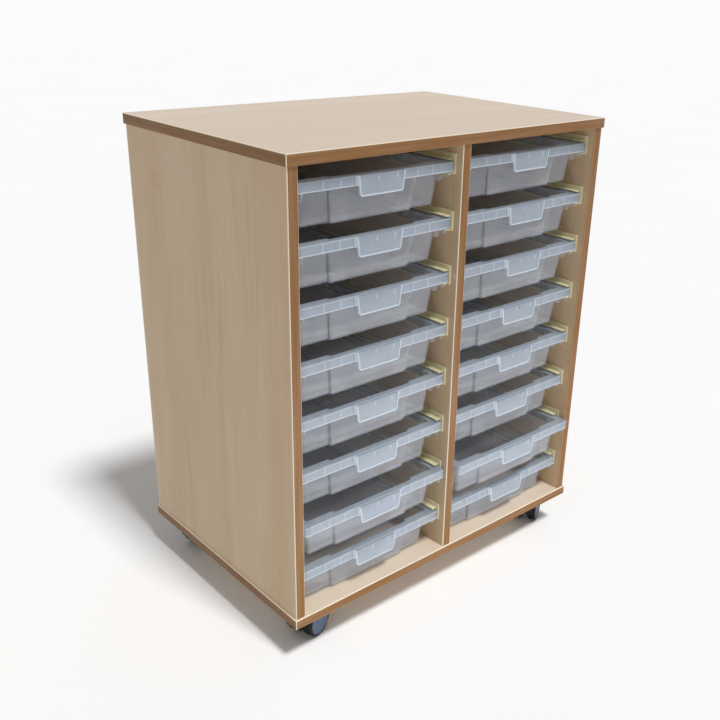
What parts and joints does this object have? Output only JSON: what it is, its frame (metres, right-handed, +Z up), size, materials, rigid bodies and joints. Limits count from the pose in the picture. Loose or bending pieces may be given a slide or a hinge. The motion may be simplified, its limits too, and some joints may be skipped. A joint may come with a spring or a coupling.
{
  "type": "classroom tray storage unit",
  "caption": "Mobile classroom storage cabinet in wood-effect board with shallow translucent trays that slide out on plastic runners, standing on swivel castors with brakes at the front.",
  "frame": {"origin": "on the floor, under the middle of the unit's outer box", "axes": "+X to the right, +Y to the back and +Z up, seen from the open front"},
  "size_m": [0.696, 0.485, 0.8482],
  "materials": {
    "faced_board": "satin maple-effect facing",
    "back_board": "satin maple-effect facing",
    "edging": "satin, wood-effect",
    "runner_plastic": "satin",
    "tray_plastic": "translucent, fine matt texture",
    "dowel_wood": "plain",
    "zinc_steel": "zinc plated",
    "castor_plate_steel": "zinc plated",
    "castor_nylon": "moulded, fine texture",
    "castor_wheel": "black tread, blue-grey disc"
  },
  "bodies": {
    "carcass": {"back_panel": "back_board", "base_edging": "edging", "base_panel": "faced_board", "carcass_dowels": "dowel_wood", "castor_kingpins": "zinc_steel", "castor_screws": "zinc_steel", "centre_divider": "faced_board", "divider_edging": "edging", "front_left_castor_plate": "castor_plate_steel", "front_right_castor_plate": "castor_plate_steel", "left_bay_left_runners": "runner_plastic", "left_bay_right_runners": "runner_plastic", "left_side_edging": "edging", "left_side_panel": "faced_board", "rear_left_castor_plate": "castor_plate_steel", "rear_right_castor_plate": "castor_plate_steel", "right_bay_left_runners": "runner_plastic", "right_bay_right_runners": "runner_plastic", "right_side_edging": "edging", "right_side_panel": "faced_board", "runner_screws": "zinc_steel", "top_edging": "edging", "top_panel": "faced_board"},
    "tray_left_1": {"tray_left_1": "tray_plastic"},
    "tray_left_2": {"tray_left_2": "tray_plastic"},
    "tray_left_3": {"tray_left_3": "tray_plastic"},
    "tray_left_4": {"tray_left_4": "tray_plastic"},
    "tray_left_5": {"tray_left_5": "tray_plastic"},
    "tray_left_6": {"tray_left_6": "tray_plastic"},
    "tray_left_7": {"tray_left_7": "tray_plastic"},
    "tray_left_8": {"tray_left_8": "tray_plastic"},
    "tray_right_1": {"tray_right_1": "tray_plastic"},
    "tray_right_2": {"tray_right_2": "tray_plastic"},
    "tray_right_3": {"tray_right_3": "tray_plastic"},
    "tray_right_4": {"tray_right_4": "tray_plastic"},
    "tray_right_5": {"tray_right_5": "tray_plastic"},
    "tray_right_6": {"tray_right_6": "tray_plastic"},
    "tray_right_7": {"tray_right_7": "tray_plastic"},
    "tray_right_8": {"tray_right_8": "tray_plastic"},
    "front_left_castor": {"front_left_castor_housing": "castor_nylon", "front_left_castor_axle": "zinc_steel"},
    "front_left_castor_wheel_a": {"front_left_castor_wheel_a": "castor_wheel"},
    "front_left_castor_wheel_b": {"front_left_castor_wheel_b": "castor_wheel"},
    "front_left_castor_brake_pedal": {"front_left_castor_brake_pedal": "castor_nylon"},
    "front_right_castor": {"front_right_castor_housing": "castor_nylon", "front_right_castor_axle": "zinc_steel"},
    "front_right_castor_wheel_a": {"front_right_castor_wheel_a": "castor_wheel"},
    "front_right_castor_wheel_b": {"front_right_castor_wheel_b": "castor_wheel"},
    "front_right_castor_brake_pedal": {"front_right_castor_brake_pedal": "castor_nylon"},
    "rear_left_castor": {"rear_left_castor_housing": "castor_nylon", "rear_left_castor_axle": "zinc_steel"},
    "rear_left_castor_wheel_a": {"rear_left_castor_wheel_a": "castor_wheel"},
    "rear_left_castor_wheel_b": {"rear_left_castor_wheel_b": "castor_wheel"},
    "rear_right_castor": {"rear_right_castor_housing": "castor_nylon", "rear_right_castor_axle": "zinc_steel"},
    "rear_right_castor_wheel_a": {"rear_right_castor_wheel_a": "castor_wheel"},
    "rear_right_castor_wheel_b": {"rear_right_castor_wheel_b": "castor_wheel"}
  },
  "joints": [
    {"name": "tray_left_1_slide", "type": "slide", "parent": "carcass", "child": "tray_left_1", "axis": [0, -1, 0], "range_m": [-0.0045, 0.2955]},
    {"name": "tray_left_2_slide", "type": "slide", "parent": "carcass", "child": "tray_left_2", "axis": [0, -1, 0], "range_m": [-0.0025, 0.2975]},
    {"name": "tray_left_3_slide", "type": "slide", "parent": "carcass", "child": "tray_left_3", "axis": [0, -1, 0], "range_m": [-0.004, 0.296]},
    {"name": "tray_left_4_slide", "type": "slide", "parent": "carcass", "child": "tray_left_4", "axis": [0, -1, 0], "range_m": [-0.0055, 0.2945]},
    {"name": "tray_left_5_slide", "type": "slide", "parent": "carcass", "child": "tray_left_5", "axis": [0, -1, 0], "range_m": [-0.0045, 0.2955]},
    {"name": "tray_left_6_slide", "type": "slide", "parent": "carcass", "child": "tray_left_6", "axis": [0, -1, 0], "range_m": [-0.0045, 0.2955]},
    {"name": "tray_left_7_slide", "type": "slide", "parent": "carcass", "child": "tray_left_7", "axis": [0, -1, 0], "range_m": [-0.016, 0.284]},
    {"name": "tray_left_8_slide", "type": "slide", "parent": "carcass", "child": "tray_left_8", "axis": [0, -1, 0], "range_m": [-0.005, 0.295]},
    {"name": "tray_right_1_slide", "type": "slide", "parent": "carcass", "child": "tray_right_1", "axis": [0, -1, 0], "range_m": [-0.0035, 0.2965]},
    {"name": "tray_right_2_slide", "type": "slide", "parent": "carcass", "child": "tray_right_2", "axis": [0, -1, 0], "range_m": [-0.0035, 0.2965]},
    {"name": "tray_right_3_slide", "type": "slide", "parent": "carcass", "child": "tray_right_3", "axis": [0, -1, 0], "range_m": [-0.0055, 0.2945]},
    {"name": "tray_right_4_slide", "type": "slide", "parent": "carcass", "child": "tray_right_4", "axis": [0, -1, 0], "range_m": [-0.004, 0.296]},
    {"name": "tray_right_5_slide", "type": "slide", "parent": "carcass", "child": "tray_right_5", "axis": [0, -1, 0], "range_m": [-0.004, 0.296]},
    {"name": "tray_right_6_slide", "type": "slide", "parent": "carcass", "child": "tray_right_6", "axis": [0, -1, 0], "range_m": [-0.004, 0.296]},
    {"name": "tray_right_7_slide", "type": "slide", "parent": "carcass", "child": "tray_right_7", "axis": [0, -1, 0], "range_m": [-0.029, 0.271]},
    {"name": "tray_right_8_slide", "type": "slide", "parent": "carcass", "child": "tray_right_8", "axis": [0, -1, 0], "range_m": [-0.0075, 0.2925]},
    {"name": "front_left_castor_swivel", "type": "hinge", "parent": "carcass", "child": "front_left_castor", "pos_m": [-0.293, -0.1745, 0.0675], "axis": [0, 0, 1], "continuous": true},
    {"name": "front_left_castor_wheel_a_spin", "type": "hinge", "parent": "front_left_castor", "child": "front_left_castor_wheel_a", "pos_m": [-0.2734, -0.1845, 0.03], "axis": [-0.342, 0.9397, 0], "continuous": true},
    {"name": "front_left_castor_wheel_b_spin", "type": "hinge", "parent": "front_left_castor", "child": "front_left_castor_wheel_b", "pos_m": [-0.28441, -0.15424, 0.03], "axis": [-0.342, 0.9397, 0], "continuous": true},
    {"name": "front_left_castor_brake", "type": "hinge", "parent": "front_left_castor", "child": "front_left_castor_brake_pedal", "pos_m": [-0.30919, -0.18039, 0.05014], "axis": [0.342, -0.9397, 0], "range_deg": [0, 12]},
    {"name": "front_right_castor_swivel", "type": "hinge", "parent": "carcass", "child": "front_right_castor", "pos_m": [0.293, -0.1745, 0.0675], "axis": [0, 0, 1], "continuous": true},
    {"name": "front_right_castor_wheel_a_spin", "type": "hinge", "parent": "front_right_castor", "child": "front_right_castor_wheel_a", "pos_m": [0.3138, -0.18167, 0.03], "axis": [-0.4695, 0.8829, 0], "continuous": true},
    {"name": "front_right_castor_wheel_b_spin", "type": "hinge", "parent": "front_right_castor", "child": "front_right_castor_wheel_b", "pos_m": [0.29869, -0.15324, 0.03], "axis": [-0.4695, 0.8829, 0], "continuous": true},
    {"name": "front_right_castor_brake", "type": "hinge", "parent": "front_right_castor", "child": "front_right_castor_brake_pedal", "pos_m": [0.27779, -0.18259, 0.05014], "axis": [0.4695, -0.8829, 0], "range_deg": [0, 12]},
    {"name": "rear_left_castor_swivel", "type": "hinge", "parent": "carcass", "child": "rear_left_castor", "pos_m": [-0.293, 0.1875, 0.0675], "axis": [0, 0, 1], "continuous": true},
    {"name": "rear_left_castor_wheel_a_spin", "type": "hinge", "parent": "rear_left_castor", "child": "rear_left_castor_wheel_a", "pos_m": [-0.2734, 0.1775, 0.03], "axis": [-0.342, 0.9397, 0], "continuous": true},
    {"name": "rear_left_castor_wheel_b_spin", "type": "hinge", "parent": "rear_left_castor", "child": "rear_left_castor_wheel_b", "pos_m": [-0.28441, 0.20776, 0.03], "axis": [-0.342, 0.9397, 0], "continuous": true},
    {"name": "rear_right_castor_swivel", "type": "hinge", "parent": "carcass", "child": "rear_right_castor", "pos_m": [0.293, 0.1875, 0.0675], "axis": [0, 0, 1], "continuous": true},
    {"name": "rear_right_castor_wheel_a_spin", "type": "hinge", "parent": "rear_right_castor", "child": "rear_right_castor_wheel_a", "pos_m": [0.31415, 0.18143, 0.03], "axis": [-0.515, 0.8572, 0], "continuous": true},
    {"name": "rear_right_castor_wheel_b_spin", "type": "hinge", "parent": "rear_right_castor", "child": "rear_right_castor_wheel_b", "pos_m": [0.29757, 0.20903, 0.03], "axis": [-0.515, 0.8572, 0], "continuous": true}
  ]
}
